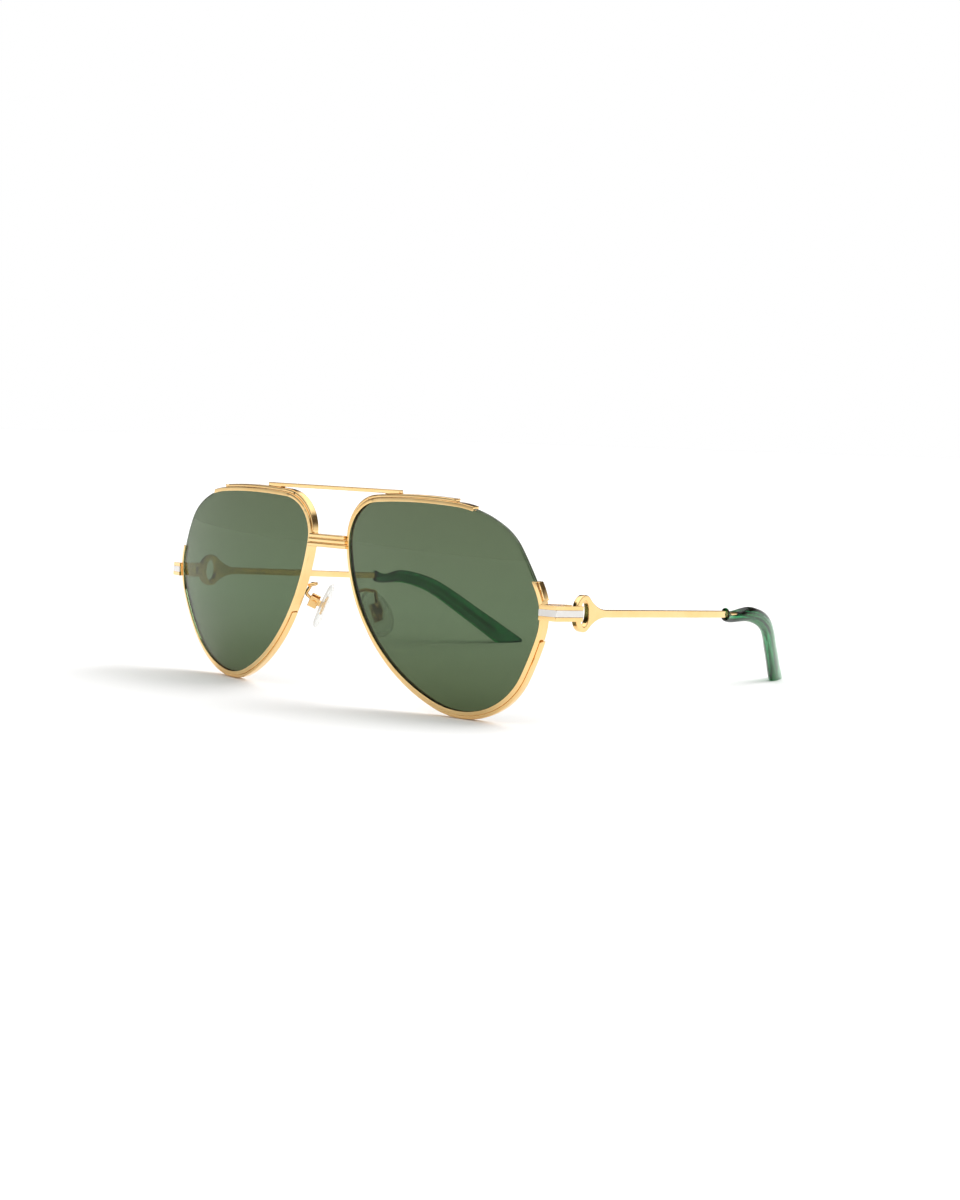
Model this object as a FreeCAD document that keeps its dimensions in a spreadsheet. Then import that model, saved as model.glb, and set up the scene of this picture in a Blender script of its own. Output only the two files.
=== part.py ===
import FreeCAD, Part

import math
import os

# Aviator sunglasses with folding temples and rocking nose pads, in millimetres.
#
# Frame: +X is the wearer's left, the lenses face -Y, +Z is up. The glasses stand
# on z = 0, on the two rims and the two temple tips, and the origin is under the
# middle of their overall box. Every left piece is built once and mirrored in the
# YZ plane for the right.

V = FreeCAD.Vector
doc = FreeCAD.newDocument("aviator_sunglasses")

# ----------------------------------------------------------------- dimensions

DIMENSIONS = {
    # Lens frame: where the lens plane sits, and how far it turns and leans
    "front_depth": -65.89,
    "lens_centre_across": 38.5,
    "lens_centre_up": 29.26,
    "wrap_angle": 5.95,
    "lean_angle": 2.75,
    "lens_radius": 130.0,
    "lens_bulge": 3.235,
    "prism_reach": 9.0,
    # Rim, lens and cord, as offsets outwards and as depths behind the front
    "rim_face": 1.05,
    "rim_depth": 2.4,
    "lens_lap": 0.35,
    "lens_front": 0.4,
    "lens_back": 2.0,
    "groove_gap": 0.05,
    "cord_seat": 0.08,
    "cord_bottom": 0.12,
    "cord_top": 0.55,
    "cord_front": 0.95,
    "cord_back": 1.45,
    "cord_gap": 0.02,
    "cord_end_gap": 0.1,
    "rim_top_end": 10.1,
    "rim_side_end": 6.4,
    # Outer ridges stacked on the rim
    "trim_front": 0.3,
    "trim_back": 2.1,
    "brow_trim_across": -0.3,
    "brow_trim_up": 0.8,
    "brow_trim_end": 4.8,
    "bridge_top": 13.6,
    "lower_trim_across": 0.2,
    "lower_trim_up": -0.95,
    "lower_trim_end": -7.9,
    "side_trim_across": 0.5,
    "side_trim_up": 0.25,
    "side_trim_start": 1.95,
    # Bridge and brow bar
    "bridge_up": 41.24,
    "bridge_ridge": 1.15,
    "bridge_front": -3.45,
    "bridge_depth": 2.2,
    "bridge_half_top": 6.55,
    "bridge_half_step": 0.35,
    "brow_bar_up": 54.49,
    "brow_bar_tall": 1.0,
    "brow_bar_front": -1.9,
    "brow_bar_depth": 1.5,
    "brow_bar_half": 24.7,
    "brow_block_long": 5.0,
    "brow_block_drop": 0.45,
    # Temple frame: ring centre on its outer face, and the direction of the bar
    "ring_across": 70.92,
    "ring_depth": 15.82,
    "ring_up": 27.79,
    "temple_yaw": 2.32,
    "temple_pitch": 3.62,
    "ring_half_tall": 4.5,
    "ring_half_long": 3.5,
    "ring_hole_tall": 3.15,
    "ring_hole_long": 1.7,
    "ring_plate": 1.6,
    "neck_start": 2.1,
    "neck_start_up": 3.55,
    "neck_middle": 4.9,
    "neck_middle_up": 1.75,
    "neck_end": 9.0,
    "bar_tall": 1.9,
    "bar_thick": 1.3,
    "bar_inset": 0.0,
    "bar_end": 64.9,
    # Temple tip and the wire inside it
    "core_radius": 0.6,
    "core_gap": 0.05,
    "core_end": 21.0,
    "tip_straight": 10.2,
    "tip_bend_radius": 32.0,
    "tip_bend_angle": 37.5,
    "tip_bend_turn": 32.4,
    "tip_tail": 32.0,
    "tip_start_tall": 1.8,
    "tip_end_tall": 3.3,
    "tip_start_thick": 1.45,
    "tip_end_thick": 1.8,
    # Endpiece and its inlay, in the temple frame
    "endpiece_half": 1.85,
    "face_start": -13.5,
    "face_start_out": -3.75,
    "face_fold": -12.45,
    "face_fold_out": 0.7,
    "block_start": -12.2,
    "block_corner": -10.7,
    "block_corner_out": -2.9,
    "block_in": -2.5,
    "inlay_half": 0.8,
    "inlay_deep": 0.35,
    "side_face_out": 0.85,
    "tongue_in": 0.15,
    "tongue_end": -1.8,
    "block_end": -7.0,
    # Hinge, in the temple frame
    "hinge_along": -5.2,
    "hinge_out": -1.75,
    "knuckle_radius": 1.3,
    "knuckle_half": 0.95,
    "knuckle_gap": 0.05,
    "hinge_half": 2.0,
    "screw_radius": 0.6,
    "screw_head_radius": 0.9,
    "screw_head_tall": 0.5,
    "screw_slot": 0.25,
    "running_gap": 0.04,
    "bore_gap": 0.01,
    "leaf_start": -10.2,
    "leaf_end": -6.65,
    "leaf_inner": -3.5,
    "leaf_outer": -2.4,
    "knuckle_arm_inner": -3.05,
    "knuckle_arm_outer": -1.6,
    "rear_arm_end": -2.9,
    "rear_arm_outer": -0.5,
    # Nose pads
    "pad_across": 10.2,
    "pad_depth": 5.9,
    "pad_up": 23.04,
    "pad_half_tall": 6.8,
    "pad_half_wide": 4.0,
    "pad_thick": 2.2,
    "pad_edge": 0.8,
    "pad_pivot": 2.8,
    "eye_radius": 1.05,
    "eye_half": 0.5,
    "box_wall": 1.25,
    "box_slot": 0.6,
    "box_half_tall": 1.5,
    "box_front": -1.75,
    "box_back": -4.2,
    "pad_screw_radius": 0.4,
    "pad_screw_head": 0.7,
    "arm_radius": 0.45,
    "arm_corner": 0.75,
    "lug_half_wide": 1.2,
    "lug_half_tall": 2.4,
    "lug_half_thick": 0.3,
    "lug_neck_half": 0.7,
    "clasp_floor": 0.25,
    "pad_screw_rise": 0.35,
}

sheet = doc.addObject("Spreadsheet::Sheet", "dims")
for row, (alias, size) in enumerate(DIMENSIONS.items(), start=1):
    sheet.set(f"A{row}", alias)
    sheet.set(f"B{row}", str(size))
    sheet.setAlias(f"B{row}", alias)
doc.recompute()


def dim(alias):
    """The sheet's value for an alias, as a plain number."""
    return float(sheet.get(alias))


# -------------------------------------------------------------------- helpers

def make(kind, name, bound=None, **plain):
    """A document object with some properties bound to the sheet and some plain."""
    thing = doc.addObject(kind, name)
    for prop, setting in plain.items():
        setattr(thing, prop, setting)
    for prop, expression in (bound or {}).items():
        thing.setExpression(prop, expression)
    return thing


def cut(name, base, *tools):
    for number, tool in enumerate(tools):
        base = make("Part::Cut", f"{name}_cut{number}", Base=base, Tool=tool)
    return base


def common(name, base, tool):
    return make("Part::Common", name, Base=base, Tool=tool)


def fuse(name, *shapes):
    return make("Part::MultiFuse", name, Shapes=list(shapes))


def box(name, low, high):
    """A box from two corners; a corner's entry is a number or a sheet expression."""
    block = doc.addObject("Part::Box", name)
    for prop, place, start, end in zip(
            ("Length", "Width", "Height"), "xyz", low, high):
        block.setExpression(prop, f"({end}) - ({start})")
        block.setExpression(f"Placement.Base.{place}", f"{start}")
    return block


def outline_sketch(name, edges):
    """A sketch that holds ready-made curves."""
    sketch = doc.addObject("Sketcher::SketchObject", name)
    sketch.addGeometry(edges, False)
    return sketch


def polygon_edges(points):
    ends = points[1:] + points[:1]
    return [Part.LineSegment(V(*a, 0), V(*b, 0)) for a, b in zip(points, ends)]


def slab(name, profile, low, high):
    """The profile's face pushed along its normal from low to high."""
    return make("Part::Extrusion", name,
                {"LengthFwd": high, "LengthRev": f"-({low})"},
                Base=profile, DirMode="Custom", Dir=V(0, 0, 1), Solid=True)


pieces = []


def keep(node, shape, placement=None):
    """Name a left piece, put it in place, and mirror it for the right."""
    if placement is not None:
        shape.Placement = placement.multiply(shape.Placement)
    shape.Label = f"{node}_left"
    twin = make("Part::Mirroring", f"{node}_right", Source=shape, Normal=V(1, 0, 0))
    twin.Label = f"{node}_right"
    pieces.append(shape)
    pieces.append(twin)
    return shape


# --------------------------------------------------------------------- frames

def turn(axis, angle):
    return FreeCAD.Rotation(axis, angle)


X_AXIS = V(1, 0, 0)
Y_AXIS = V(0, 1, 0)
Z_AXIS = V(0, 0, 1)


def lens_placement():
    """Local x runs outwards across the lens, y up it and z out of its front."""
    rotation = turn(Z_AXIS, dim("wrap_angle")).multiply(turn(X_AXIS, 90 + dim("lean_angle")))
    centre = V(dim("lens_centre_across"), dim("front_depth"), dim("lens_centre_up"))
    return FreeCAD.Placement(centre + rotation.multVec(Z_AXIS) * dim("lens_bulge"), rotation)


def temple_placement():
    """Local x runs back along the temple, y up and z outwards."""
    upright = FreeCAD.Rotation(Y_AXIS, Z_AXIS, X_AXIS, "ZXY")
    rotation = turn(Z_AXIS, dim("temple_yaw")).multiply(turn(X_AXIS, -dim("temple_pitch")))
    centre = V(dim("ring_across"), dim("front_depth") + dim("ring_depth"), dim("ring_up"))
    return FreeCAD.Placement(centre, rotation.multiply(upright))


def pad_placement():
    """Local y runs up the pad and z out of its face, towards the nose."""
    long_axis = V(-0.49, 0.0, 0.872)
    face = V(-0.714, 0.595, -0.401)
    face = face - long_axis * (face.dot(long_axis) / long_axis.dot(long_axis))
    across = long_axis.cross(face)
    centre = V(dim("pad_across"), dim("front_depth") + dim("pad_depth"), dim("pad_up"))
    return FreeCAD.Placement(centre, FreeCAD.Rotation(across, long_axis, face, "ZYX"))


LENS = lens_placement()
TEMPLE = temple_placement()
PAD = pad_placement()

# --------------------------------------------------------------- lens outline

# The rim's inner edge is a closed chain of tangent arcs: how far each one turns
# and its radius. The brow and nose arcs' radii follow from closing the chain.
OUTLINE_START_ANGLE = -28.5
OUTLINE_START = V(23.6, -16.55, 0)
OUTLINE_ARCS = [
    ("temple_flat", 8.0, 75.0),
    ("temple_corner", 44.0, 15.5),
    ("upper_flat", 8.0, 74.0),
    ("top_corner", 26.0, 15.5),
    ("brow_end", 28.0, 28.3),
    ("brow", 10.0, None),
    ("nose_corner", 91.5, 10.1),
    ("nose_side", 60.5, None),
    ("bottom", 84.0, 20.6),
]


def unit(angle):
    return V(math.cos(math.radians(angle)), math.sin(math.radians(angle)), 0)


def closed_chain():
    """Start angle, turn and radius of each arc, with the two open radii solved."""
    angle = OUTLINE_START_ANGLE
    gap = V()
    chain = []
    for _, sweep, radius in OUTLINE_ARCS:
        step = unit(angle + sweep) - unit(angle)
        chain.append([angle, sweep, radius, step])
        if radius is not None:
            gap += step * radius
        angle += sweep
    first, second = [arc for arc in chain if arc[2] is None]
    spread = first[3].x * second[3].y - first[3].y * second[3].x
    first[2] = (-gap.x * second[3].y + gap.y * second[3].x) / spread
    second[2] = (-first[3].x * gap.y + first[3].y * gap.x) / spread
    return [(angle, sweep, radius) for angle, sweep, radius, _ in chain]


def lens_outline():
    """Arcs of the rim's inner edge, anticlockwise from its lower temple side."""
    edges = []
    point = OUTLINE_START
    for angle, sweep, radius in closed_chain():
        centre = point - unit(angle) * radius
        circle = Part.Circle(centre, Z_AXIS, radius)
        edges.append(Part.ArcOfCircle(
            circle, math.radians(angle), math.radians(angle + sweep)))
        point = centre + unit(angle + sweep) * radius
    return outline_sketch("rim_inner_edge", edges)


outline = lens_outline()


def prism(name, offset=None, across=0, up=0):
    """A prism on the outline, grown by an offset and shifted sideways."""
    profile = outline
    if offset is not None:
        profile = make("Part::Offset2D", f"{name}_edge", {"Value": offset}, Source=outline)
    block = slab(name, profile, "-dims.prism_reach", "dims.prism_reach")
    block.setExpression("Placement.Base.x", f"{across}")
    block.setExpression("Placement.Base.y", f"{up}")
    return block


def shell(name, front, back):
    """The layer between two depths behind the front sphere of the lens."""
    balls = []
    for side, depth in (("outer", front), ("inner", back)):
        ball = make("Part::Sphere", f"{name}_{side}",
                    {"Radius": f"dims.lens_radius - ({depth})",
                     "Placement.Base.z": "-dims.lens_radius"})
        ball.Placement = FreeCAD.Placement(V(0, 0, -dim("lens_radius")), turn(X_AXIS, 90))
        balls.append(ball)
    return cut(name, *balls)


FAR = 45


def build_rims():
    """Rims, their outer ridges, lenses and the cord round the bare corner."""
    opening = prism("opening")
    rim_edge = prism("rim_outer", "dims.rim_face")
    ring = common("rim_ring", cut("rim_band", rim_edge, opening),
                  shell("rim_layer", "0", "dims.rim_depth"))
    groove = common("rim_groove", prism("groove_outer", "dims.lens_lap + dims.groove_gap"),
                    shell("groove_layer", "dims.lens_front - dims.groove_gap",
                          "dims.lens_back + dims.groove_gap"))
    bare_corner = box("bare_corner", ("dims.rim_top_end", "dims.rim_side_end", -FAR),
                      (FAR, FAR, FAR))
    rim = cut("rim", ring, groove, bare_corner)

    lens_body = common("lens_body", prism("lens_edge", "dims.lens_lap"),
                       shell("lens_layer", "dims.lens_front", "dims.lens_back"))
    seat_band = cut("seat_band", prism("seat_outer", "dims.cord_top"),
                    prism("seat_inner", "dims.cord_seat"))
    seat_ring = common("seat_ring", seat_band,
                       shell("seat_layer", "dims.cord_front", "dims.cord_back"))
    seat_corner = box("seat_corner", ("dims.rim_top_end", "dims.rim_side_end", -FAR),
                      (FAR, FAR, FAR))
    lens = cut("lens", lens_body, common("cord_seat", seat_ring, seat_corner))

    cord_band = cut("cord_band", prism("cord_outer", "dims.cord_top"),
                    prism("cord_inner", "dims.cord_bottom"))
    cord_ring = common("cord_ring", cord_band,
                       shell("cord_layer", "dims.cord_front + dims.cord_gap",
                             "dims.cord_back - dims.cord_gap"))
    cord_corner = box("cord_corner", ("dims.rim_top_end + dims.cord_end_gap",
                                      "dims.rim_side_end + dims.cord_end_gap", -FAR),
                      (FAR, FAR, FAR))
    cord = common("cord", cord_ring, cord_corner)

    trims = {}
    for name, low, high in (
            ("brow_trim", (-FAR, "dims.bridge_top", -FAR), ("dims.brow_trim_end", FAR, FAR)),
            ("lower_trim", (-FAR, -FAR, -FAR), (FAR, "dims.lower_trim_end", FAR)),
            ("side_trim", (0, "dims.side_trim_start", -FAR),
             (FAR, "dims.rim_side_end", FAR))):
        crescent = cut(f"{name}_crescent",
                       prism(f"{name}_outer", "dims.rim_face",
                             f"dims.{name}_across", f"dims.{name}_up"),
                       prism(f"{name}_inner", "dims.rim_face"))
        layer = common(f"{name}_ring", crescent,
                       shell(f"{name}_layer", "dims.trim_front", "dims.trim_back"))
        trims[name] = common(name, layer, box(f"{name}_stretch", low, high))

    keep("lens", lens, LENS)
    keep("lens_cord", cord, LENS)
    for name, trim in trims.items():
        keep(name, trim, LENS)
    return keep("rim", rim, LENS), trims


rim, trims = build_rims()


# ------------------------------------------------------------ bridge, brow bar

def build_bridge():
    """Three stacked ridges, each lower one a little longer, clear of the rims."""
    ridges = []
    for number in range(3):
        half = f"(dims.bridge_half_top + {number} * dims.bridge_half_step)"
        top = f"(dims.bridge_up + (1.5 - {number}) * dims.bridge_ridge)"
        front = "(dims.front_depth + dims.bridge_front)"
        ridges.append(box(f"bridge_ridge{number}",
                          (f"-{half}", front, f"{top} - dims.bridge_ridge"),
                          (half, f"{front} + dims.bridge_depth", top)))
    solid = fuse("bridge_ridges", *ridges)
    neighbours = []
    for node in ("rim", "brow_trim", "lens"):
        neighbours += [piece for piece in pieces if piece.Label.startswith(f"{node}_")]
    bridge = cut("bridge", solid, *neighbours)
    bridge.Label = "bridge"
    pieces.append(bridge)


def build_brow_bar():
    """A straight bar with a block at each end that sits on the brow ridges."""
    front = "(dims.front_depth + dims.brow_bar_front)"
    back = f"{front} + dims.brow_bar_depth"
    top = "(dims.brow_bar_up + dims.brow_bar_tall)"
    bar = box("brow_rail", ("-dims.brow_bar_half", front, "dims.brow_bar_up"),
              ("dims.brow_bar_half", back, top))
    blocks = []
    for side, low, high in (
            ("left", "dims.brow_bar_half - dims.brow_block_long", "dims.brow_bar_half"),
            ("right", "-dims.brow_bar_half", "-dims.brow_bar_half + dims.brow_block_long")):
        blocks.append(box(f"brow_block_{side}",
                          (low, front, "dims.brow_bar_up - dims.brow_block_drop"),
                          (high, back, top)))
    solid = fuse("brow_bar_solid", bar, *blocks)
    neighbours = [piece for piece in pieces
                  if piece.Label.startswith(("rim_", "brow_trim_"))]
    brow_bar = cut("brow_bar", solid, *neighbours)
    brow_bar.Label = "brow_bar"
    pieces.append(brow_bar)


build_bridge()
build_brow_bar()


# ------------------------------------------------------- endpieces and hinges

def flat_slab(name, points, half):
    """A plan outline, as (back, out) points, standing half each way along local y."""
    profile = outline_sketch(f"{name}_plan", polygon_edges([(a, -b) for a, b in points]))
    block = slab(name, profile, f"-{half}", half)
    block.Placement = FreeCAD.Placement(V(), FreeCAD.Rotation(X_AXIS, -90))
    return block


def upright_cylinder(name, radius, low, high, along="dims.hinge_along", out="dims.hinge_out"):
    """A cylinder along local y."""
    post = make("Part::Cylinder", name, {"Radius": radius, "Height": f"({high}) - ({low})"})
    post.Placement = FreeCAD.Placement(V(), FreeCAD.Rotation(X_AXIS, -90))
    post.setExpression("Placement.Base.x", along)
    post.setExpression("Placement.Base.y", low)
    post.setExpression("Placement.Base.z", out)
    return post


def build_endpieces():
    """A gold block folded round to the temple, with a silver band let into it.

    Its outer face, as (back, out), starts over the rim, goes round the fold and
    ends beside the temple's ring.
    """
    face_start = (dim("face_start"), dim("face_start_out"))
    face_fold = (dim("face_fold"), dim("face_fold_out"))
    face_end = (dim("tongue_end"), dim("side_face_out"))
    deep = dim("inlay_deep")
    block = flat_slab("endpiece_block", [
        face_start, face_fold, face_end, (dim("tongue_end"), dim("tongue_in")),
        (dim("block_end"), dim("tongue_in")), (dim("block_end"), dim("block_in")),
        (dim("block_corner"), dim("block_corner_out")),
        (dim("block_start"), dim("face_start_out"))], "dims.endpiece_half")
    band = flat_slab("inlay_band", [
        face_start, face_fold, face_end, (face_end[0], face_end[1] - deep),
        (face_fold[0] + deep, face_fold[1] - deep), (face_start[0] + deep, face_start[1])],
        "dims.inlay_half")
    pocketed = cut("endpiece_pocketed", block, band)
    pocketed.Placement = TEMPLE
    neighbours = [piece for piece in pieces
                  if piece.Label in ("rim_left", "side_trim_left", "lens_left")]
    keep("endpiece", cut("endpiece", pocketed, *neighbours))
    inlay = make("Part::Compound", "inlay_piece", Links=[band])
    keep("endpiece_inlay", inlay, TEMPLE)


def build_hinges(temple):
    """Fixed leaf with two knuckles, moving leaf with one, and the screw."""
    outer_low = "(dims.knuckle_half + dims.knuckle_gap)"
    leaf_plate = box("front_leaf_plate",
                     ("dims.leaf_start", "-dims.hinge_half", "dims.leaf_inner"),
                     ("dims.leaf_end", "dims.hinge_half", "dims.leaf_outer"))
    parts = [leaf_plate]
    for side, low, high in (("top", outer_low, "dims.hinge_half"),
                            ("low", "-dims.hinge_half", f"-{outer_low}")):
        parts.append(upright_cylinder(f"front_knuckle_{side}", "dims.knuckle_radius", low, high))
        parts.append(box(f"front_arm_{side}", ("dims.block_end", low, "dims.knuckle_arm_inner"),
                         ("dims.hinge_along", high, "dims.knuckle_arm_outer")))
    bore = upright_cylinder("front_bore", "dims.screw_radius + dims.bore_gap",
                            "-dims.hinge_half - 1", "dims.hinge_half + 1")
    counterbore = upright_cylinder("front_counterbore",
                                   "dims.screw_head_radius + 2 * dims.bore_gap",
                                   "dims.hinge_half - dims.screw_head_tall",
                                   "dims.hinge_half + 1")
    front = cut("front_leaf_bored", fuse("front_leaf_solid", *parts), bore, counterbore)
    front.Placement = TEMPLE
    neighbours = [piece for piece in pieces
                  if piece.Label in ("rim_left", "lens_left", "endpiece_left")]
    keep("hinge_leaf_front", cut("front_leaf", front, *neighbours))

    knuckle = upright_cylinder("rear_knuckle", "dims.knuckle_radius",
                               "-dims.knuckle_half", "dims.knuckle_half")
    arm = box("rear_arm", ("dims.hinge_along", "-dims.knuckle_half", "-dims.ring_plate"),
              ("dims.rear_arm_end", "dims.knuckle_half", "dims.rear_arm_outer"))
    rear_bore = upright_cylinder("rear_bore", "dims.screw_radius + dims.running_gap",
                                 "-dims.hinge_half", "dims.hinge_half")
    rear = cut("rear_leaf_bored", fuse("rear_leaf_solid", knuckle, arm), rear_bore)
    rear.Placement = TEMPLE
    keep("hinge_leaf_rear", cut("rear_leaf", rear, temple))

    shaft = upright_cylinder("screw_shaft", "dims.screw_radius",
                             "-dims.hinge_half", "dims.hinge_half - 0.1")
    head = upright_cylinder("screw_head", "dims.screw_head_radius",
                            "dims.hinge_half - dims.screw_head_tall + dims.bore_gap",
                            "dims.hinge_half")
    slot = box("screw_slot_cut",
               ("dims.hinge_along - 2", "dims.hinge_half - 0.2", "dims.hinge_out - dims.screw_slot / 2"),
               ("dims.hinge_along + 2", "dims.hinge_half + 1", "dims.hinge_out + dims.screw_slot / 2"))
    keep("hinge_screw", cut("hinge_screw_body", fuse("screw_solid", shaft, head), slot), TEMPLE)


# --------------------------------------------------------------------- temples

def tip_centre_line(tail):
    """Straight, bent and straight edges of the tip's centre line, in the temple frame."""
    start = V(dim("bar_end") - 1.0, 0, -dim("bar_inset") - dim("bar_thick") / 2)
    bend_start = V(dim("bar_end") + dim("tip_straight"), 0, start.z)
    turn_angle = math.radians(dim("tip_bend_turn"))
    inward = V(0, -math.cos(turn_angle), -math.sin(turn_angle))
    centre = bend_start + inward * dim("tip_bend_radius")
    axis = X_AXIS.cross(inward)

    def along_bend(angle):
        return FreeCAD.Placement(V(), FreeCAD.Rotation(axis, angle), centre)

    full = along_bend(dim("tip_bend_angle"))
    bend_end = full.multVec(bend_start)
    middle = along_bend(dim("tip_bend_angle") / 2).multVec(bend_start)
    tail_end = full.multVec(bend_start + X_AXIS * tail)
    return start, bend_start, middle, bend_end, tail_end, along_bend


def core_wire(name, radius, tail):
    """The round wire that runs on from the bar inside the tip."""
    start, bend_start, middle, bend_end, tail_end, _ = tip_centre_line(tail)
    path = Part.Wire([
        Part.LineSegment(start, bend_start).toShape(),
        Part.Arc(bend_start, middle, bend_end).toShape(),
        Part.LineSegment(bend_end, tail_end).toShape()])
    section = Part.Wire(Part.Circle(start, X_AXIS, radius).toShape())
    wire = doc.addObject("Part::Feature", name)
    wire.Shape = path.makePipeShell([section], True, True)
    return wire


def tip_sleeve():
    """An oval sleeve along the bend that widens towards its end."""
    start, bend_start, _, _, _, along_bend = tip_centre_line(0)
    straight = dim("tip_straight")
    tail = dim("tip_tail")
    bend = dim("tip_bend_angle")
    stations = [(0, 0), (straight, 0)]
    stations += [(straight, bend * step / 4) for step in (1, 2, 3, 4)]
    stations += [(straight + tail * step / 4, bend) for step in (1, 2, 3, 4)]
    sections = []
    for number, (run, angle) in enumerate(stations):
        share = number / (len(stations) - 1)
        tall = dim("tip_start_tall") + share * (dim("tip_end_tall") - dim("tip_start_tall"))
        thick = dim("tip_start_thick") + share * (dim("tip_end_thick") - dim("tip_start_thick"))
        centre = V(dim("bar_end") + run, 0, start.z)
        oval = Part.Ellipse(centre + Y_AXIS * tall, centre + Z_AXIS * thick, centre)
        section = Part.Wire(oval.toShape())
        section.Placement = along_bend(angle)
        sections.append(section)
    sleeve = doc.addObject("Part::Feature", "sleeve_solid")
    sleeve.Shape = Part.makeLoft(sections, True, False)
    return sleeve


def build_temples():
    """Oval ring, tapering neck, flat bar and core wire, with a sleeve on the wire."""
    ovals = {}
    for name, tall, length in (("ring", "dims.ring_half_tall", "dims.ring_half_long"),
                               ("hole", "dims.ring_hole_tall", "dims.ring_hole_long")):
        oval = make("Part::Ellipse", f"{name}_oval", {"MajorRadius": tall, "MinorRadius": length})
        oval.Placement = FreeCAD.Placement(V(), turn(Z_AXIS, 90))
        ovals[name] = slab(f"{name}_plate", oval, "-dims.ring_plate", "0")
    half = dim("bar_tall") / 2
    top = [V(dim("neck_start"), dim("neck_start_up"), 0),
           V(dim("neck_middle"), dim("neck_middle_up"), 0), V(dim("neck_end"), half, 0)]
    low = [V(point.x, -point.y, 0) for point in top]
    neck_profile = outline_sketch("neck_profile", [
        Part.LineSegment(low[0], top[0]), Part.Arc(*top),
        Part.LineSegment(top[2], low[2]), Part.Arc(*reversed(low))])
    neck = slab("neck", neck_profile, "-dims.ring_plate", "0")
    ring = cut("pierced_ring", fuse("ring_and_neck", ovals["ring"], neck), ovals["hole"])
    bar = box("temple_bar", ("dims.neck_end - 0.5", "-dims.bar_tall / 2",
                             "-dims.bar_inset - dims.bar_thick"),
              ("dims.bar_end", "dims.bar_tall / 2", "-dims.bar_inset"))
    core = core_wire("core", dim("core_radius"), dim("core_end"))
    temple = keep("temple", fuse("temple_solid", ring, bar, core), TEMPLE)

    bore = core_wire("core_bore", dim("core_radius") + dim("core_gap"), dim("core_end") + 0.5)
    sleeve = cut("bored_sleeve", tip_sleeve(), bore)
    sleeve.Placement = TEMPLE
    floor = box("floor", (0, -200, -50), (200, 200, 0))
    keep("temple_tip", cut("temple_tip", sleeve, floor))
    return temple


build_endpieces()
build_hinges(build_temples())


# ------------------------------------------------------------------- nose pads

def pad_pin(name, radius, low, high):
    """A cylinder on the pad's pivot, along local x."""
    pin = make("Part::Cylinder", name, {"Radius": radius, "Height": f"({high}) - ({low})"})
    pin.Placement = FreeCAD.Placement(V(), turn(Y_AXIS, 90))
    pin.setExpression("Placement.Base.x", low)
    pin.setExpression("Placement.Base.z", "-dims.pad_pivot")
    return pin


def build_nose_pads():
    """Silicone pad, the lug moulded into it, and the clasp and screw that hold it."""
    oval = make("Part::Ellipse", "pad_oval",
                {"MajorRadius": "dims.pad_half_tall", "MinorRadius": "dims.pad_half_wide"})
    oval.Placement = FreeCAD.Placement(V(), turn(Z_AXIS, 90))
    pad = slab("pad_block", oval, "-dims.pad_thick / 2", "dims.pad_thick / 2")
    doc.recompute()
    rounded = make("Part::Fillet", "pad_rounded", Base=pad)
    edge = dim("pad_edge")
    rims = [number for number, item in enumerate(pad.Shape.Edges, start=1)
            if isinstance(item.Curve, Part.Ellipse)]
    rounded.Edges = [(number, edge, edge) for number in rims]

    plate = box("lug_plate", ("-dims.lug_half_wide", "-dims.lug_half_tall", "-dims.lug_half_thick"),
                ("dims.lug_half_wide", "dims.lug_half_tall", "dims.lug_half_thick"))
    neck = box("lug_neck", ("-dims.eye_half", "-dims.lug_neck_half", "-dims.pad_pivot"),
               ("dims.eye_half", "dims.lug_neck_half", "0"))
    eye = pad_pin("lug_eye", "dims.eye_radius", "-dims.eye_half", "dims.eye_half")
    eye_bore = pad_pin("lug_bore", "dims.pad_screw_radius + dims.running_gap", "-2", "2")
    lug = cut("lug", fuse("lug_solid", plate, neck, eye), eye_bore)
    keep("nose_pad", cut("pad", rounded, lug), PAD)
    insert = make("Part::Compound", "lug_piece", Links=[lug])
    keep("pad_insert", insert, PAD)

    wall = box("clasp_block", ("-dims.box_wall", "-dims.box_half_tall", "dims.box_back"),
               ("dims.box_wall", "dims.box_half_tall", "dims.box_front"))
    slot = box("clasp_slot", ("-dims.box_slot", -3, "dims.box_back + dims.clasp_floor"),
               ("dims.box_slot", 3, 0))
    bore = pad_pin("clasp_bore", "dims.pad_screw_radius + dims.bore_gap", "-3", "3")
    keep("pad_box", cut("clasp", wall, slot, bore), PAD)
    shank = pad_pin("pad_screw_shank", "dims.pad_screw_radius", "-dims.box_wall",
                    "dims.box_wall + 0.1")
    head = pad_pin("pad_screw_cap", "dims.pad_screw_head", "dims.box_wall + dims.bore_gap",
                   "dims.box_wall + dims.pad_screw_rise")
    keep("pad_screw", fuse("pad_screw_solid", shank, head), PAD)


def rounded_path(points, radius):
    """Straight runs through the points, with each inner corner turned by an arc."""
    edges = []
    here = points[0]
    for before, corner, after in zip(points, points[1:], points[2:]):
        back = (before - corner).normalize()
        on = (after - corner).normalize()
        half_turn = back.getAngle(on) / 2
        reach = radius / math.tan(half_turn)
        bisector = (back + on).normalize()
        near = corner + back * reach
        far = corner + on * reach
        middle = corner + bisector * (radius / math.sin(half_turn) - radius)
        edges.append(Part.LineSegment(here, near).toShape())
        edges.append(Part.Arc(near, middle, far).toShape())
        here = far
    edges.append(Part.LineSegment(here, points[-1]).toShape())
    return Part.Wire(edges)


# Corners of the pad wire behind the rim, as (across, behind the front, up)
ARM_ROOT = V(9.5, -0.3, 28.84)
ARM_RISE = V(9.6, 2.6, 29.14)
ARM_PEAK = V(12.4, 3.4, 28.94)
# The last two corners, in the pad's own frame from the back of its clasp
ARM_ELBOW = V(0, 1.0, -1.6)
ARM_SEAT = V(0, 0.4, 0.1)


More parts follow.
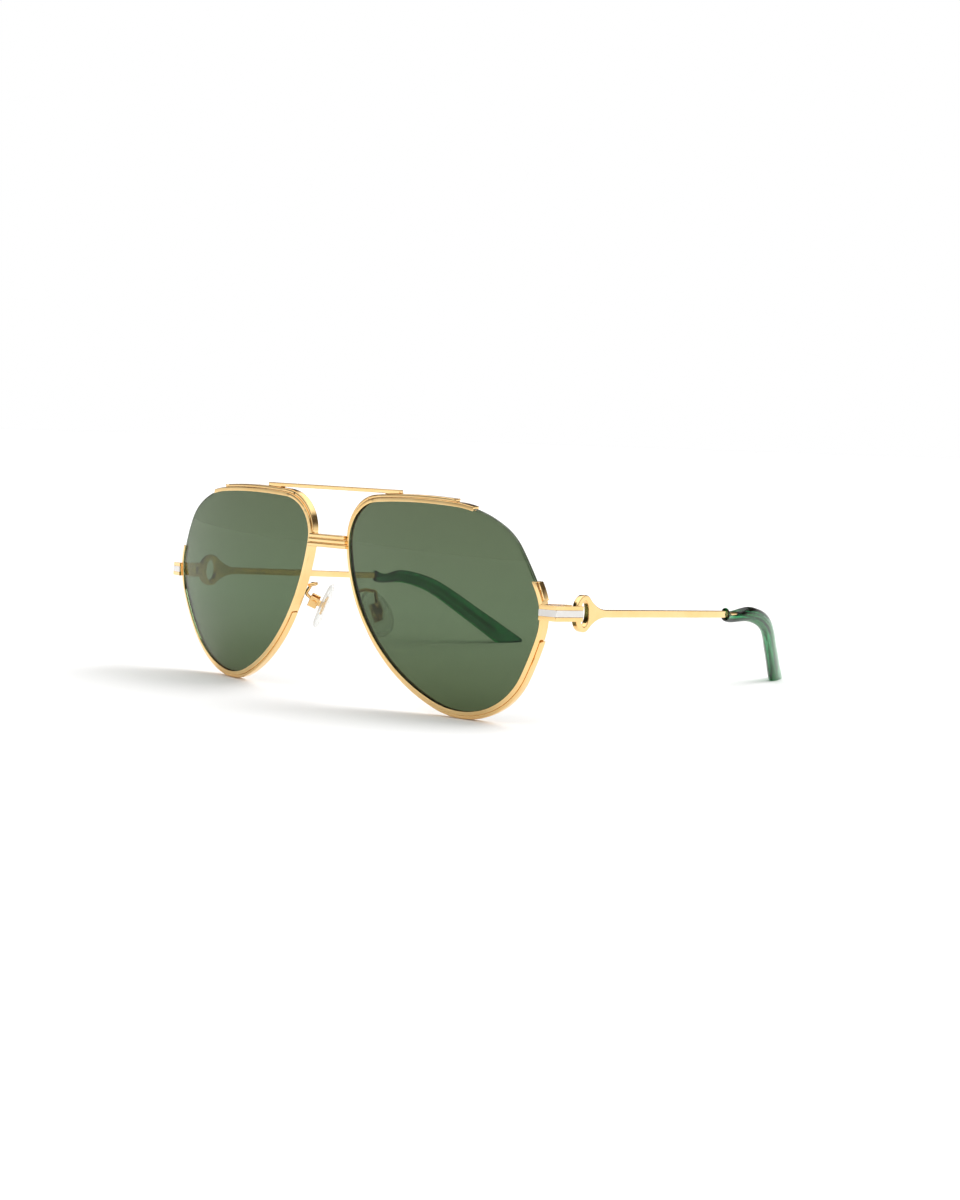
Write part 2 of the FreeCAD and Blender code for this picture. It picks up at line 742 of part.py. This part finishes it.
def build_pad_arms():
    """A wire from the back of the rim, over and down to the clasp."""
    front = V(0, dim("front_depth"), 0)
    clasp = V(0, 0, dim("box_back"))
    points = [ARM_ROOT + front, ARM_RISE + front, ARM_PEAK + front,
              PAD.multVec(clasp + ARM_ELBOW), PAD.multVec(clasp + ARM_SEAT)]
    path = rounded_path(points, dim("arm_corner"))
    section = Part.Wire(Part.Circle(points[0], points[1] - points[0], dim("arm_radius")).toShape())
    wire = doc.addObject("Part::Feature", "arm_wire")
    wire.Shape = path.makePipeShell([section], True, True)
    neighbours = [piece for piece in pieces if piece.Label in ("rim_left", "pad_box_left")]
    keep("pad_arm", cut("pad_arm", wire, *neighbours))


build_nose_pads()
build_pad_arms()


# ---------------------------------------------------------------------- output

doc.recompute()
for item in doc.Objects:
    if "Invalid" in item.State or "Error" in item.State:
        raise RuntimeError(f"{item.Label} failed: {item.State}")
for piece in pieces:
    if piece.Shape.isNull() or not piece.Shape.isValid() or not piece.Shape.Solids:
        raise RuntimeError(f"{piece.Label} has no valid solid")

os.makedirs("parts", exist_ok=True)
whole = FreeCAD.BoundBox()
for piece in pieces:
    piece.Shape.exportStep(f"parts/{piece.Label}.step")
    whole.add(piece.Shape.BoundBox)
    print(f"{piece.Label}: {len(piece.Shape.Solids)} solid, {piece.Shape.Volume:.1f} mm3")
print(f"box x {whole.XMin:.2f} {whole.XMax:.2f}, y {whole.YMin:.2f} {whole.YMax:.2f}, "
      f"z {whole.ZMin:.2f} {whole.ZMax:.2f}")
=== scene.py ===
import math

import bmesh
import bpy
from mathutils import Matrix, Vector


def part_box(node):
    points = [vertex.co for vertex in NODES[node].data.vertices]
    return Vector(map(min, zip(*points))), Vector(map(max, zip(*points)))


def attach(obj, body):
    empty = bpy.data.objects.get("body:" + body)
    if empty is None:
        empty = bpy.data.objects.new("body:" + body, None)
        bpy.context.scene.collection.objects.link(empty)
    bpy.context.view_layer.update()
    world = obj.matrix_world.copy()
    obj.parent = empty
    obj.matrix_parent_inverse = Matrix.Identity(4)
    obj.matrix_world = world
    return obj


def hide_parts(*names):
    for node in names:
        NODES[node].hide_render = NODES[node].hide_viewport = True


# The looks of a pair of aviator sunglasses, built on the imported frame. Metres;
# +X is the wearer's left, the lenses face -Y and +Z is up.

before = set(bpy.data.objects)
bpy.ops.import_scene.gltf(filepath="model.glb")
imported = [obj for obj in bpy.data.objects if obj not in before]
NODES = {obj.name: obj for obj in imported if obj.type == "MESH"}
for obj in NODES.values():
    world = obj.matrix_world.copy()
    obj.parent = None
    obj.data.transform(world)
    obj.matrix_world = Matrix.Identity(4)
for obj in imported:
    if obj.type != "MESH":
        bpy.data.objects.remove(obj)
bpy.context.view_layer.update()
MM = 0.001
SIDES = (("left", 1.0), ("right", -1.0))


# ---------------------------------------------------------------- node helpers

# The part of a noise's range that holds nearly all of its values
NOISE_LOW = 0.3
NOISE_HIGH = 0.7

# Where a colour drift is wholly its first and wholly its second colour
DRIFT_LOW = 0.35
DRIFT_HIGH = 0.65


def new_material(name):
    """An empty node material, with its node tree and output node."""
    material = bpy.data.materials.new(name)
    material.use_nodes = True
    tree = material.node_tree
    tree.nodes.clear()
    output = tree.nodes.new("ShaderNodeOutputMaterial")
    return material, tree, output


def add_node(tree, kind, settings=None, links=None):
    """A node with socket values by name and links from other nodes' sockets."""
    node = tree.nodes.new(kind)
    for socket, value in (settings or {}).items():
        node.inputs[socket].default_value = value
    for socket, source in (links or {}).items():
        tree.links.new(source, node.inputs[socket])
    return node


def object_place(tree, stretch=(1.0, 1.0, 1.0)):
    """A place on the object in metres, stretched for directional marks."""
    place = tree.nodes.new("ShaderNodeTexCoord")
    mapping = add_node(tree, "ShaderNodeMapping", links={"Vector": place.outputs["Object"]})
    mapping.inputs["Scale"].default_value = stretch
    return mapping.outputs["Vector"]


def noise(tree, vector, waves, detail=3.0):
    """Noise with that many waves a metre."""
    return add_node(tree, "ShaderNodeTexNoise", {"Scale": waves, "Detail": detail},
                    {"Vector": vector}).outputs["Fac"]


def ramp(tree, source, stops):
    """A colour ramp through (position, colour) stops."""
    node = add_node(tree, "ShaderNodeValToRGB", links={"Fac": source})
    elements = node.color_ramp.elements
    while len(elements) < len(stops):
        elements.new(0.5)
    for element, (position, colour) in zip(elements, stops):
        element.position = position
        element.color = (*colour, 1.0)
    return node.outputs["Color"]


def spread(tree, source, low, high):
    """The middle of a noise's range spread between two values."""
    node = add_node(tree, "ShaderNodeMapRange",
                    {"From Min": NOISE_LOW, "From Max": NOISE_HIGH, "To Min": low, "To Max": high},
                    {"Value": source})
    return node.outputs["Result"]


# ------------------------------------------------------------------- materials

# Noise waves a metre: metal
METAL_DRIFT_WAVES = 90.0
METAL_GLOSS_WAVES = 700.0
BRUSH_WAVES = 9000.0
BRUSH_DETAIL = 2.0


def polished_metal(name, light, dark, roughness, brush, brush_depth):
    """Polished plate: faint colour drift, hairline polishing marks, uneven gloss."""
    material, tree, output = new_material(name)
    place = object_place(tree)
    drift = noise(tree, place, METAL_DRIFT_WAVES)
    colour = ramp(tree, drift, [(DRIFT_LOW, dark), (DRIFT_HIGH, light)])
    marks = noise(tree, object_place(tree, brush), BRUSH_WAVES, BRUSH_DETAIL)
    gloss = spread(tree, noise(tree, place, METAL_GLOSS_WAVES), *roughness)
    bump = add_node(tree, "ShaderNodeBump", {"Strength": 1.0, "Distance": brush_depth},
                    {"Height": marks})
    shader = add_node(tree, "ShaderNodeBsdfPrincipled", {"Metallic": 1.0},
                      {"Base Color": colour, "Roughness": gloss, "Normal": bump.outputs["Normal"]})
    tree.links.new(shader.outputs["BSDF"], output.inputs["Surface"])
    return material


# Lens tint from the bottom of the lens to its top, with painted shade that deepens it low
# down and a little at the top; the heights it runs between and how far up the middle colour sits
LENS_LOW_SHADED = (0.066, 0.091, 0.041)
LENS_MIDDLE = (0.098, 0.142, 0.077)
LENS_TOP = (0.098, 0.127, 0.072)
LENS_BOTTOM_UP = 0.002
LENS_TOP_UP = 0.054
LENS_MIDDLE_SHARE = 0.45
LENS_IOR = 1.28
LENS_SMEAR_WAVES = 160.0
LENS_SMEAR = (0.0, 0.012)


def tinted_lens(name):
    """Green glass of even tint, with painted shade that deepens it towards the bottom of the lens.
    """
    material, tree, output = new_material(name)
    place = tree.nodes.new("ShaderNodeTexCoord")
    split = add_node(tree, "ShaderNodeSeparateXYZ", links={"Vector": place.outputs["Object"]})
    height = add_node(tree, "ShaderNodeMapRange",
                      {"From Min": LENS_BOTTOM_UP, "From Max": LENS_TOP_UP,
                       "To Min": 0.0, "To Max": 1.0},
                      {"Value": split.outputs["Z"]})
    # Painted shade: the even tint is deepened by height, most at the bottom of the lens
    tint_and_painted_shade = ramp(tree, height.outputs["Result"],
                [(0.0, LENS_LOW_SHADED), (LENS_MIDDLE_SHARE, LENS_MIDDLE), (1.0, LENS_TOP)])
    smear = spread(tree, noise(tree, object_place(tree), LENS_SMEAR_WAVES), *LENS_SMEAR)
    glass = add_node(tree, "ShaderNodeBsdfPrincipled",
                     {"Transmission Weight": 1.0, "IOR": LENS_IOR},
                     {"Base Color": tint_and_painted_shade, "Roughness": smear})
    tree.links.new(glass.outputs["BSDF"], output.inputs["Surface"])
    return material


# Silicone: its two cloud colours, and its body's share of the look face on and edge on
SILICONE_CLOUD = [(DRIFT_LOW, (0.90, 0.90, 0.89)), (DRIFT_HIGH, (0.97, 0.97, 0.96))]
SILICONE_CLOUD_WAVES = 350.0
SILICONE_CLOUD_DETAIL = 4.0
SILICONE_GLOSS_WAVES = 900.0
SILICONE_ROUGHNESS = (0.32, 0.45)
SILICONE_FACE_ON = 0.17
SILICONE_EDGE_ON = 0.95


def soft_clear(name):
    """Milky clear silicone: nearly clear face on, whiter and glossy towards its edges."""
    material, tree, output = new_material(name)
    cloud = ramp(tree, noise(tree, object_place(tree), SILICONE_CLOUD_WAVES, SILICONE_CLOUD_DETAIL),
                 SILICONE_CLOUD)
    gloss = spread(tree, noise(tree, object_place(tree), SILICONE_GLOSS_WAVES), *SILICONE_ROUGHNESS)
    body = add_node(tree, "ShaderNodeBsdfPrincipled",
                    {"IOR": 1.41, "Specular IOR Level": 0.35},
                    {"Base Color": cloud, "Roughness": gloss})
    clear = add_node(tree, "ShaderNodeBsdfTransparent", {"Color": (0.97, 0.98, 0.97, 1.0)})
    slant = add_node(tree, "ShaderNodeLayerWeight", {"Blend": 0.5})
    share = add_node(tree, "ShaderNodeMapRange",
                     {"To Min": SILICONE_FACE_ON, "To Max": SILICONE_EDGE_ON},
                     {"Value": slant.outputs["Facing"]})
    mixed = add_node(tree, "ShaderNodeMixShader", links={"Fac": share.outputs["Result"]})
    tree.links.new(clear.outputs["BSDF"], mixed.inputs[1])
    tree.links.new(body.outputs["BSDF"], mixed.inputs[2])
    tree.links.new(mixed.outputs["Shader"], output.inputs["Surface"])
    return material


CLEAR_DRIFT_DETAIL = 4.0
CLEAR_GLOSS_WAVES = 500.0


def clear_body(name, colours, waves, roughness, ior, density=0.0, absorb=(1.0, 1.0, 1.0)):
    """A see-through solid: glass with cloudy colour drift, and absorption if it has a density."""
    material, tree, output = new_material(name)
    place = object_place(tree)
    low, high = colours
    colour = ramp(tree, noise(tree, place, waves, CLEAR_DRIFT_DETAIL),
                  [(DRIFT_LOW, low), (DRIFT_HIGH, high)])
    gloss = spread(tree, noise(tree, place, CLEAR_GLOSS_WAVES), *roughness)
    shader = add_node(tree, "ShaderNodeBsdfPrincipled",
                      {"Transmission Weight": 1.0, "IOR": ior, "Coat Weight": 0.1,
                       "Coat Roughness": 0.03},
                      {"Base Color": colour, "Roughness": gloss})
    tree.links.new(shader.outputs["BSDF"], output.inputs["Surface"])
    if density:
        volume = add_node(tree, "ShaderNodeVolumeAbsorption",
                          {"Color": (*absorb, 1.0), "Density": density})
        tree.links.new(volume.outputs["Volume"], output.inputs["Volume"])
    return material


gold = polished_metal("polished_gold", light=(0.96, 0.68, 0.33), dark=(0.93, 0.61, 0.26),
                      roughness=(0.10, 0.17), brush=(1.0, 0.12, 1.0), brush_depth=0.0000012)
palladium = polished_metal("satin_palladium", light=(0.80, 0.78, 0.75), dark=(0.74, 0.72, 0.69),
                           roughness=(0.26, 0.36), brush=(0.15, 0.15, 1.0), brush_depth=0.000004)
green_lens = tinted_lens("green_lens")
acetate = clear_body("green_acetate", colours=((0.08, 0.60, 0.27), (0.18, 0.70, 0.40)),
                     waves=60.0, roughness=(0.05, 0.10), ior=1.42, density=480.0,
                     absorb=(0.16, 0.58, 0.34))
silicone = soft_clear("clear_silicone")
nylon = clear_body("clear_nylon", colours=((0.84, 0.88, 0.84), (0.93, 0.95, 0.93)),
                   waves=400.0, roughness=(0.12, 0.2), ior=1.40)

# What isn't gold, by kind of part
FINISHES = {"lens": green_lens, "lens_cord": nylon, "endpiece_inlay": palladium,
            "temple_tip": acetate}


# ----------------------------------------------------------- surface finishing

# Points closer than this are one point, before edges are rounded
WELD_WITHIN = 0.000002
ROUND_SEGMENTS = 3
SHARP_ANGLE = math.radians(28.0)
FACE_WEIGHT = 80

# How far each kind of part's edges are rounded over, in millimetres
EDGE_ROUND = {"rim": 0.16, "brow_trim": 0.2, "lower_trim": 0.2, "side_trim": 0.2,
              "brow_bar": 0.2, "endpiece": 0.14, "endpiece_inlay": 0.06, "temple": 0.22,
              "hinge_leaf_front": 0.1, "hinge_leaf_rear": 0.1, "hinge_screw": 0.06,
              "pad_box": 0.16, "pad_insert": 0.1, "lens": 0.08, "temple_tip": 0.25}


def paint(piece, material):
    """Gives every face of a piece one material."""
    if not piece.material_slots:
        piece.data.materials.append(material)
    for slot in piece.material_slots:
        slot.link = "OBJECT"
        slot.material = material


def soften(piece, width):
    """Rounds a piece's sharp edges so that they catch the light."""
    weld = piece.modifiers.new("weld", "WELD")
    weld.merge_threshold = WELD_WITHIN
    bevel = piece.modifiers.new("bevel", "BEVEL")
    bevel.width = width
    bevel.segments = ROUND_SEGMENTS
    bevel.limit_method = "ANGLE"
    bevel.angle_limit = SHARP_ANGLE
    bevel.use_clamp_overlap = False
    bevel.miter_outer = "MITER_ARC"
    normals = piece.modifiers.new("normals", "WEIGHTED_NORMAL")
    normals.weight = FACE_WEIGHT


def family(node):
    """A node's name without its side."""
    for side, _ in SIDES:
        if node.endswith(f"_{side}"):
            return node[:-len(side) - 1]
    return node


for node, piece in NODES.items():
    kind = family(node)
    paint(piece, FINISHES.get(kind, gold))
    piece.data.shade_smooth()
    if kind in EDGE_ROUND:
        soften(piece, EDGE_ROUND[kind] * MM)


# --------------------------------------------------------------- built pieces

def mesh_piece(name, build, material, body, slot, *stands_for):
    """A smooth mesh piece from a bmesh builder, riding on a body."""
    mesh = bpy.data.meshes.new(name)
    shape = bmesh.new()
    build(shape)
    bmesh.ops.recalc_face_normals(shape, faces=shape.faces)
    shape.to_mesh(mesh)
    shape.free()
    mesh.shade_smooth()
    piece = bpy.data.objects.new(name, mesh)
    bpy.context.scene.collection.objects.link(piece)
    paint(piece, material)
    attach(piece, body)
    if stands_for:
        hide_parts(*stands_for)
    return piece


def skin_rings(shape, rings):
    """Closes a stack of equal rings of points into a solid skin."""
    rows = [[shape.verts.new(point) for point in ring] for ring in rings]
    count = len(rows[0])
    for low, high in zip(rows, rows[1:]):
        for at in range(count):
            after = (at + 1) % count
            shape.faces.new((low[at], low[after], high[after], high[at]))
    shape.faces.new(rows[0][::-1])
    shape.faces.new(rows[-1])


# How much of the corner radius the last ring of a bar gives up, so that it keeps an area
END_SHRINK = 0.98


def rounded_bar(shape, low, high, round_over, steps=5):
    """A bar along X whose long edges and ends are all rounded over."""
    centre = (low + high) / 2
    half = (high - low) / 2
    corners = ((1, 1, 0), (-1, 1, 90), (-1, -1, 180), (1, -1, 270))

    def section(along, inset):
        radius = round_over - END_SHRINK * inset
        ring = []
        for corner_y, corner_z, start in corners:
            for step in range(steps + 1):
                turn = math.radians(start + 90 * step / steps)
                ring.append(centre + Vector((
                    along,
                    corner_y * (half.y - round_over) + radius * math.cos(turn),
                    corner_z * (half.z - round_over) + radius * math.sin(turn))))
        return ring

    turns = [math.radians(90 * step / steps) for step in range(steps + 1)]
    ends = [(half.x - round_over * (1 - math.sin(turn)), round_over * (1 - math.cos(turn)))
            for turn in turns]
    skin_rings(shape, [section(-along, inset) for along, inset in reversed(ends)]
               + [section(along, inset) for along, inset in ends])


BRIDGE_RIDGES = 3
BRIDGE_STEP = 0.35 * MM
BRIDGE_GROOVE = 0.05 * MM
BRIDGE_ROUND = 0.3 * MM

# The plain bar behind the ridges: how far back its front sits, as a share of the
# bridge's depth, and how far it stays inside the bridge's other faces
CORE_SETBACK = 0.35
CORE_EDGE_INSET = 0.2 * MM
CORE_BACK_INSET = 0.1 * MM


def build_bridge(shape):
    """Three rounded ridges, each lower one a little longer, on a plain bar."""
    low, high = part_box("bridge")
    tall = (high.z - low.z) / BRIDGE_RIDGES
    for number in range(BRIDGE_RIDGES):
        half = high.x - (BRIDGE_RIDGES - 1 - number) * BRIDGE_STEP
        top = high.z - number * tall
        rounded_bar(shape, Vector((-half, low.y, top - tall + BRIDGE_GROOVE)),
                    Vector((half, high.y, top - BRIDGE_GROOVE)), BRIDGE_ROUND)
    back = Vector((0, (high.y - low.y) * CORE_SETBACK, 0))
    core_half = high.x - BRIDGE_STEP * 2
    rounded_bar(shape, Vector((-core_half, low.y, low.z + CORE_EDGE_INSET)) + back,
                Vector((core_half, high.y - CORE_BACK_INSET, high.z - CORE_EDGE_INSET)),
                BRIDGE_ROUND)


mesh_piece("bridge_ridges", build_bridge, gold, "front", "polished_gold", "bridge")


# Nose pad: half height, half width and half thickness, its long direction and the
# way it faces on the left side
PAD_TALL = 6.8 * MM
PAD_WIDE = 4.0 * MM
PAD_THICK = 1.1 * MM
PAD_LONG = Vector((-0.49, 0.0, 0.872)).normalized()
PAD_FACE = Vector((-0.714, 0.595, -0.401)).normalized()
PAD_TAPER = 0.17
PAD_POINTS = 56

# Rings of a pad's faces as shares of its outline, closer together near the edge
PAD_RINGS = (0.05, 0.25, 0.45, 0.62, 0.76, 0.86, 0.93, 0.97, 0.992)

# How late the faces curve round to the edge, how far the front's crown falls on the
# way, and how much thinner the back is in the middle
PAD_EDGE_POWER = 5
PAD_FRONT_FALL = 0.12
PAD_BACK_SHARE = 0.82


def build_pad(side, sign):
    """A crowned teardrop of silicone with a fully rounded edge."""
    low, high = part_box(f"nose_pad_{side}")
    centre = (low + high) / 2
    mirror = Matrix.Diagonal((sign, 1.0, 1.0))
    along = mirror @ PAD_LONG
    face = mirror @ PAD_FACE
    across = along.cross(face)

    def ring(share, lift):
        points = []
        for number in range(PAD_POINTS):
            turn = 2 * math.pi * number / PAD_POINTS
            taper = 1 - PAD_TAPER * math.sin(turn)
            points.append(centre + across * (PAD_WIDE * taper * share * math.cos(turn))
                          + along * (PAD_TALL * share * math.sin(turn)) + face * lift)
        return points

    def build(shape):
        front = []
        back = []
        for share in PAD_RINGS:
            edge = (1 - share ** PAD_EDGE_POWER) ** 0.5
            crown = 1 - PAD_FRONT_FALL * share ** 2
            hollow = PAD_BACK_SHARE + (1 - PAD_BACK_SHARE) * share ** 2
            front.append(ring(share, PAD_THICK * edge * crown))
            back.append(ring(share, -PAD_THICK * edge * hollow))
        skin_rings(shape, front + [ring(1.0, 0.0)] + back[::-1])

    piece = mesh_piece(f"pad_silicone_{side}", build, silicone, f"pad_{side}", "clear_silicone",
                       f"nose_pad_{side}")


for side, sign in SIDES:
    build_pad(side, sign)


# ---------------------------------------------------------- floor, light, camera

FLOOR_HALF = 12.0
FLOOR_WAVES = 30.0
FLOOR_COLOURS = [(NOISE_LOW, (0.93, 0.93, 0.93)), (NOISE_HIGH, (0.95, 0.95, 0.95))]


def build_floor():
    """A plain pale floor that runs well past the view."""
    mesh = bpy.data.meshes.new("floor")
    shape = bmesh.new()
    bmesh.ops.create_grid(shape, x_segments=4, y_segments=4, size=FLOOR_HALF)
    shape.to_mesh(mesh)
    shape.free()
    floor = bpy.data.objects.new("floor", mesh)
    bpy.context.scene.collection.objects.link(floor)
    material, tree, output = new_material("pale_floor")
    colour = ramp(tree, noise(tree, object_place(tree), FLOOR_WAVES), FLOOR_COLOURS)
    shader = add_node(tree, "ShaderNodeBsdfPrincipled",
                      {"Roughness": 0.9, "Specular IOR Level": 0.05}, {"Base Color": colour})
    tree.links.new(shader.outputs["BSDF"], output.inputs["Surface"])
    floor.data.materials.append(material)


# Studio colour by height, from straight down to straight up
WORLD_STOPS = [(0.0, (0.8, 0.8, 0.8)), (0.5, (0.85, 0.85, 0.85)), (0.56, (0.72, 0.72, 0.72)),
               (0.65, (0.07, 0.06, 0.05)), (0.78, (0.08, 0.07, 0.06)), (0.86, (1.2, 1.2, 1.2)),
               (1.0, (1.2, 1.2, 1.2))]
WORLD_STRENGTH = 1.25


def build_world():
    """A white studio with a dark band that gives polished metal its contrast. The
    camera itself sees plain white."""
    world = bpy.data.worlds.new("studio")
    world.use_nodes = True
    tree = world.node_tree
    tree.nodes.clear()
    output = tree.nodes.new("ShaderNodeOutputWorld")
    place = tree.nodes.new("ShaderNodeTexCoord")
    split = add_node(tree, "ShaderNodeSeparateXYZ", links={"Vector": place.outputs["Generated"]})
    height = add_node(tree, "ShaderNodeMapRange",
                      {"From Min": -1.0, "From Max": 1.0, "To Min": 0.0, "To Max": 1.0},
                      {"Value": split.outputs["Z"]})
    studio = ramp(tree, height.outputs["Result"], WORLD_STOPS)
    seen = tree.nodes.new("ShaderNodeLightPath")
    lit = add_node(tree, "ShaderNodeBackground", {"Strength": WORLD_STRENGTH}, {"Color": studio})
    plain = add_node(tree, "ShaderNodeBackground", {"Color": (1.0, 1.0, 1.0, 1.0), "Strength": 1.0})
    mixed = add_node(tree, "ShaderNodeMixShader", links={"Fac": seen.outputs["Is Camera Ray"]})
    tree.links.new(lit.outputs["Background"], mixed.inputs[1])
    tree.links.new(plain.outputs["Background"], mixed.inputs[2])
    tree.links.new(mixed.outputs["Shader"], output.inputs["Surface"])
    bpy.context.scene.world = world


SUN_STRENGTH = 1.8
SUN_ANGLE = math.radians(42.0)
SUN_FROM = Vector((0.8, 0.75, 1.0))


def build_lights():
    """One wide soft lamp from above, a little behind, that leaves no highlight of its own."""
    lamp = bpy.data.lights.new("softbox", "SUN")
    lamp.energy = SUN_STRENGTH
    lamp.angle = SUN_ANGLE
    softbox = bpy.data.objects.new("softbox", lamp)
    softbox.rotation_mode = "QUATERNION"
    softbox.rotation_quaternion = SUN_FROM.to_track_quat("Z", "Y")
    softbox.visible_glossy = False
    bpy.context.scene.collection.objects.link(softbox)


# Camera: the point it looks at, its distance, its direction and roll in radians, and
# its sensor and focal length in millimetres
CAMERA_TARGET = Vector((12.267, -22.729, 24.598)) * MM
CAMERA_DISTANCE = 465.55 * MM
CAMERA_AZIMUTH = 0.7331
CAMERA_ELEVATION = 0.0962
CAMERA_ROLL = 0.0304
CAMERA_SENSOR = 36.0
CAMERA_LENS = 50.8
CAMERA_NEAR = 0.01
CAMERA_FAR = 50.0


def build_camera():
    """A camera at the photo's place, with its roll."""
    back = Vector((math.sin(CAMERA_AZIMUTH) * math.cos(CAMERA_ELEVATION),
                   -math.cos(CAMERA_AZIMUTH) * math.cos(CAMERA_ELEVATION),
                   math.sin(CAMERA_ELEVATION)))
    level = Vector((math.cos(CAMERA_AZIMUTH), math.sin(CAMERA_AZIMUTH), 0.0))
    upright = back.cross(level)
    right = level * math.cos(CAMERA_ROLL) + upright * math.sin(CAMERA_ROLL)
    up = upright * math.cos(CAMERA_ROLL) - level * math.sin(CAMERA_ROLL)
    data = bpy.data.cameras.new("camera")
    data.sensor_width = CAMERA_SENSOR
    data.lens = CAMERA_LENS
    data.clip_start = CAMERA_NEAR
    data.clip_end = CAMERA_FAR
    camera = bpy.data.objects.new("camera", data)
    bpy.context.scene.collection.objects.link(camera)
    place = Matrix((right, up, back)).transposed().to_4x4()
    place.translation = CAMERA_TARGET + back * CAMERA_DISTANCE
    camera.matrix_world = place
    bpy.context.scene.camera = camera


build_floor()
build_world()
build_lights()
build_camera()
bpy.context.scene.view_settings.view_transform = "Standard"
